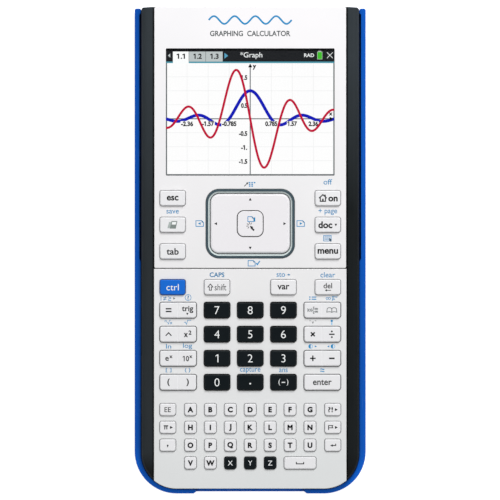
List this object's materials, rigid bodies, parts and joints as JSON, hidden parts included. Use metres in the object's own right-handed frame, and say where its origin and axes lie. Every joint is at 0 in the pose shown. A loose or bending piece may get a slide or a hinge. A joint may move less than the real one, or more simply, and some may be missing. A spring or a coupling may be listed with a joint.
{
  "type": "graphing calculator",
  "caption": "Handheld graphing calculator with a colour screen, direction pad, press and rocking keys, lying in its hard slide-on cover.",
  "frame": {"origin": "middle of the slide cover's flat back, which rests on the desk; halfway along and across", "axes": "+Z out of the keypad face, +Y up the face towards the screen, +X to the right seen from the front"},
  "size_m": [0.0894, 0.188, 0.0185],
  "materials": {
    "white_plastic": "satin",
    "dark_housing": "satin",
    "blue_cover": "satin gloss",
    "window": "clear",
    "display": "gloss",
    "backlight": "matte",
    "flex_film": "gloss",
    "circuit_board": "satin",
    "black_parts": "satin",
    "silicone": "matte",
    "slate_ring": "satin",
    "steel": "brushed",
    "rubber_foot": "matte",
    "white_key": "satin",
    "black_key": "satin gloss",
    "blue_key": "satin gloss"
  },
  "bodies": {
    "handheld": {"upper_faceplate": "white_plastic", "lower_faceplate": "white_plastic", "front_housing": "dark_housing", "rear_case": "dark_housing", "battery_door": "dark_housing", "screen_window": "window", "lcd_panel": "display", "lcd_backlight": "backlight", "lcd_flex_cable": "flex_film", "main_board": "circuit_board", "board_components": "black_parts", "keypad_mat": "silicone", "touchpad_ring": "slate_ring", "battery_pack": "black_parts", "usb_port": "steel", "dock_connector": "black_parts", "rubber_feet": "rubber_foot", "chassis_screws": "steel", "battery_door_screws": "steel"},
    "cover": {"slide_cover": "blue_cover"},
    "pad_gimbal": {"touchpad_frame": "black_parts"},
    "direction_pad": {"touchpad_sensor": "circuit_board", "touchpad_cover": "white_key"},
    "centre_button": {"select_button": "white_key"},
    "reset": {"reset_button": "black_parts"},
    "double_key_equals_trig": {"rocker_equals_trig": "white_key"},
    "double_key_power_square": {"rocker_power_square": "white_key"},
    "double_key_exponentials": {"rocker_exponentials": "white_key"},
    "double_key_brackets": {"rocker_brackets": "white_key"},
    "double_key_template_catalog": {"rocker_template_catalog": "white_key"},
    "double_key_multiply_divide": {"rocker_multiply_divide": "white_key"},
    "double_key_add_subtract": {"rocker_add_subtract": "white_key"},
    "key_esc": {"key_esc": "white_key"},
    "key_scratchpad": {"key_scratchpad": "white_key"},
    "key_tab": {"key_tab": "white_key"},
    "key_home_on": {"key_home_on": "white_key"},
    "key_doc": {"key_doc": "white_key"},
    "key_menu": {"key_menu": "white_key"},
    "key_ctrl": {"key_ctrl": "blue_key"},
    "key_shift": {"key_shift": "white_key"},
    "key_var": {"key_var": "white_key"},
    "key_del": {"key_del": "white_key"},
    "key_7": {"key_7": "black_key"},
    "key_8": {"key_8": "black_key"},
    "key_9": {"key_9": "black_key"},
    "key_4": {"key_4": "black_key"},
    "key_5": {"key_5": "black_key"},
    "key_6": {"key_6": "black_key"},
    "key_1": {"key_1": "black_key"},
    "key_2": {"key_2": "black_key"},
    "key_3": {"key_3": "black_key"},
    "key_0": {"key_0": "black_key"},
    "key_point": {"key_point": "black_key"},
    "key_negate": {"key_negate": "black_key"},
    "key_enter": {"key_enter": "white_key"},
    "letter_row_1": {"alpha_row_1_keys": "white_key"},
    "letter_row_2": {"alpha_row_2_keys": "white_key"},
    "letter_row_3": {"alpha_row_3_keys": "white_key"},
    "letter_row_4": {"alpha_row_4_keys": "white_key"},
    "letter_row_4_xyz": {"xyz_keys": "black_key"}
  },
  "joints": [
    {"name": "cover_slide", "type": "slide", "parent": "handheld", "child": "cover", "axis": [0, -1, 0], "range_m": [0, 0.19]},
    {"name": "direction_pad_up_down", "type": "hinge", "parent": "handheld", "child": "pad_gimbal", "pos_m": [0, 0.01029, 0.01377], "axis": [1, 0, 0], "range_deg": [-1.5, 1.5], "stiffness_Nm_per_rad": 0.05},
    {"name": "direction_pad_left_right", "type": "hinge", "parent": "pad_gimbal", "child": "direction_pad", "pos_m": [0, 0.01029, 0.01532], "axis": [0, 1, 0], "range_deg": [-1.5, 1.5], "stiffness_Nm_per_rad": 0.05},
    {"name": "centre_click", "type": "slide", "parent": "handheld", "child": "centre_button", "axis": [0, 0, -1], "range_m": [0, 0.0005], "stiffness_N_per_m": 100},
    {"name": "double_key_equals_trig_rock", "type": "hinge", "parent": "handheld", "child": "double_key_equals_trig", "pos_m": [-0.02783, -0.02312, 0.01437], "axis": [0, 1, 0], "range_deg": [-4, 4], "stiffness_Nm_per_rad": 0.003, "deforming": ["keypad_mat"]},
    {"name": "double_key_power_square_rock", "type": "hinge", "parent": "handheld", "child": "double_key_power_square", "pos_m": [-0.02783, -0.0324, 0.01437], "axis": [0, 1, 0], "range_deg": [-4, 4], "stiffness_Nm_per_rad": 0.003, "deforming": ["keypad_mat"]},
    {"name": "double_key_exponentials_rock", "type": "hinge", "parent": "handheld", "child": "double_key_exponentials", "pos_m": [-0.02783, -0.04169, 0.01437], "axis": [0, 1, 0], "range_deg": [-4, 4], "stiffness_Nm_per_rad": 0.003, "deforming": ["keypad_mat"]},
    {"name": "double_key_brackets_rock", "type": "hinge", "parent": "handheld", "child": "double_key_brackets", "pos_m": [-0.02783, -0.05095, 0.01437], "axis": [0, 1, 0], "range_deg": [-4, 4], "stiffness_Nm_per_rad": 0.003, "deforming": ["keypad_mat"]},
    {"name": "double_key_template_catalog_rock", "type": "hinge", "parent": "handheld", "child": "double_key_template_catalog", "pos_m": [0.02783, -0.02312, 0.01437], "axis": [0, 1, 0], "range_deg": [-4, 4], "stiffness_Nm_per_rad": 0.003, "deforming": ["keypad_mat"]},
    {"name": "double_key_multiply_divide_rock", "type": "hinge", "parent": "handheld", "child": "double_key_multiply_divide", "pos_m": [0.02783, -0.0324, 0.01437], "axis": [0, 1, 0], "range_deg": [-4, 4], "stiffness_Nm_per_rad": 0.003, "deforming": ["keypad_mat"]},
    {"name": "double_key_add_subtract_rock", "type": "hinge", "parent": "handheld", "child": "double_key_add_subtract", "pos_m": [0.02783, -0.04169, 0.01437], "axis": [0, 1, 0], "range_deg": [-4, 4], "stiffness_Nm_per_rad": 0.003, "deforming": ["keypad_mat"]},
    {"name": "key_esc_press", "type": "slide", "parent": "handheld", "child": "key_esc", "axis": [0, 0, -1], "range_m": [0, 0.001], "stiffness_N_per_m": 100, "deforming": ["keypad_mat"]},
    {"name": "key_scratchpad_press", "type": "slide", "parent": "handheld", "child": "key_scratchpad", "axis": [0, 0, -1], "range_m": [0, 0.001], "stiffness_N_per_m": 100, "deforming": ["keypad_mat"]},
    {"name": "key_tab_press", "type": "slide", "parent": "handheld", "child": "key_tab", "axis": [0, 0, -1], "range_m": [0, 0.001], "stiffness_N_per_m": 100, "deforming": ["keypad_mat"]},
    {"name": "key_home_on_press", "type": "slide", "parent": "handheld", "child": "key_home_on", "axis": [0, 0, -1], "range_m": [0, 0.001], "stiffness_N_per_m": 100, "deforming": ["keypad_mat"]},
    {"name": "key_doc_press", "type": "slide", "parent": "handheld", "child": "key_doc", "axis": [0, 0, -1], "range_m": [0, 0.001], "stiffness_N_per_m": 100, "deforming": ["keypad_mat"]},
    {"name": "key_menu_press", "type": "slide", "parent": "handheld", "child": "key_menu", "axis": [0, 0, -1], "range_m": [0, 0.001], "stiffness_N_per_m": 100, "deforming": ["keypad_mat"]},
    {"name": "key_ctrl_press", "type": "slide", "parent": "handheld", "child": "key_ctrl", "axis": [0, 0, -1], "range_m": [0, 0.001], "stiffness_N_per_m": 100, "deforming": ["keypad_mat"]},
    {"name": "key_shift_press", "type": "slide", "parent": "handheld", "child": "key_shift", "axis": [0, 0, -1], "range_m": [0, 0.001], "stiffness_N_per_m": 100, "deforming": ["keypad_mat"]},
    {"name": "key_var_press", "type": "slide", "parent": "handheld", "child": "key_var", "axis": [0, 0, -1], "range_m": [0, 0.001], "stiffness_N_per_m": 100, "deforming": ["keypad_mat"]},
    {"name": "key_del_press", "type": "slide", "parent": "handheld", "child": "key_del", "axis": [0, 0, -1], "range_m": [0, 0.001], "stiffness_N_per_m": 100, "deforming": ["keypad_mat"]},
    {"name": "key_7_press", "type": "slide", "parent": "handheld", "child": "key_7", "axis": [0, 0, -1], "range_m": [0, 0.001], "stiffness_N_per_m": 100, "deforming": ["keypad_mat"]},
    {"name": "key_8_press", "type": "slide", "parent": "handheld", "child": "key_8", "axis": [0, 0, -1], "range_m": [0, 0.001], "stiffness_N_per_m": 100, "deforming": ["keypad_mat"]},
    {"name": "key_9_press", "type": "slide", "parent": "handheld", "child": "key_9", "axis": [0, 0, -1], "range_m": [0, 0.001], "stiffness_N_per_m": 100, "deforming": ["keypad_mat"]},
    {"name": "key_4_press", "type": "slide", "parent": "handheld", "child": "key_4", "axis": [0, 0, -1], "range_m": [0, 0.001], "stiffness_N_per_m": 100, "deforming": ["keypad_mat"]},
    {"name": "key_5_press", "type": "slide", "parent": "handheld", "child": "key_5", "axis": [0, 0, -1], "range_m": [0, 0.001], "stiffness_N_per_m": 100, "deforming": ["keypad_mat"]},
    {"name": "key_6_press", "type": "slide", "parent": "handheld", "child": "key_6", "axis": [0, 0, -1], "range_m": [0, 0.001], "stiffness_N_per_m": 100, "deforming": ["keypad_mat"]},
    {"name": "key_1_press", "type": "slide", "parent": "handheld", "child": "key_1", "axis": [0, 0, -1], "range_m": [0, 0.001], "stiffness_N_per_m": 100, "deforming": ["keypad_mat"]},
    {"name": "key_2_press", "type": "slide", "parent": "handheld", "child": "key_2", "axis": [0, 0, -1], "range_m": [0, 0.001], "stiffness_N_per_m": 100, "deforming": ["keypad_mat"]},
    {"name": "key_3_press", "type": "slide", "parent": "handheld", "child": "key_3", "axis": [0, 0, -1], "range_m": [0, 0.001], "stiffness_N_per_m": 100, "deforming": ["keypad_mat"]},
    {"name": "key_0_press", "type": "slide", "parent": "handheld", "child": "key_0", "axis": [0, 0, -1], "range_m": [0, 0.001], "stiffness_N_per_m": 100, "deforming": ["keypad_mat"]},
    {"name": "key_point_press", "type": "slide", "parent": "handheld", "child": "key_point", "axis": [0, 0, -1], "range_m": [0, 0.001], "stiffness_N_per_m": 100, "deforming": ["keypad_mat"]},
    {"name": "key_negate_press", "type": "slide", "parent": "handheld", "child": "key_negate", "axis": [0, 0, -1], "range_m": [0, 0.001], "stiffness_N_per_m": 100, "deforming": ["keypad_mat"]},
    {"name": "key_enter_press", "type": "slide", "parent": "handheld", "child": "key_enter", "axis": [0, 0, -1], "range_m": [0, 0.001], "stiffness_N_per_m": 100, "deforming": ["keypad_mat"]},
    {"name": "letter_row_1_press", "type": "slide", "parent": "handheld", "child": "letter_row_1", "axis": [0, 0, -1], "range_m": [0, 0.001], "stiffness_N_per_m": 100, "deforming": ["keypad_mat"]},
    {"name": "letter_row_2_press", "type": "slide", "parent": "handheld", "child": "letter_row_2", "axis": [0, 0, -1], "range_m": [0, 0.001], "stiffness_N_per_m": 100, "deforming": ["keypad_mat"]},
    {"name": "letter_row_3_press", "type": "slide", "parent": "handheld", "child": "letter_row_3", "axis": [0, 0, -1], "range_m": [0, 0.001], "stiffness_N_per_m": 100, "deforming": ["keypad_mat"]},
    {"name": "letter_row_4_press", "type": "slide", "parent": "handheld", "child": "letter_row_4", "axis": [0, 0, -1], "range_m": [0, 0.001], "stiffness_N_per_m": 100, "deforming": ["keypad_mat"]},
    {"name": "letter_row_4_xyz_press", "type": "slide", "parent": "handheld", "child": "letter_row_4_xyz", "axis": [0, 0, -1], "range_m": [0, 0.001], "stiffness_N_per_m": 100, "deforming": ["keypad_mat"]},
    {"name": "reset_press", "type": "slide", "parent": "handheld", "child": "reset", "axis": [0, 0, 1], "range_m": [0, 0.00035], "stiffness_N_per_m": 15}
  ]
}
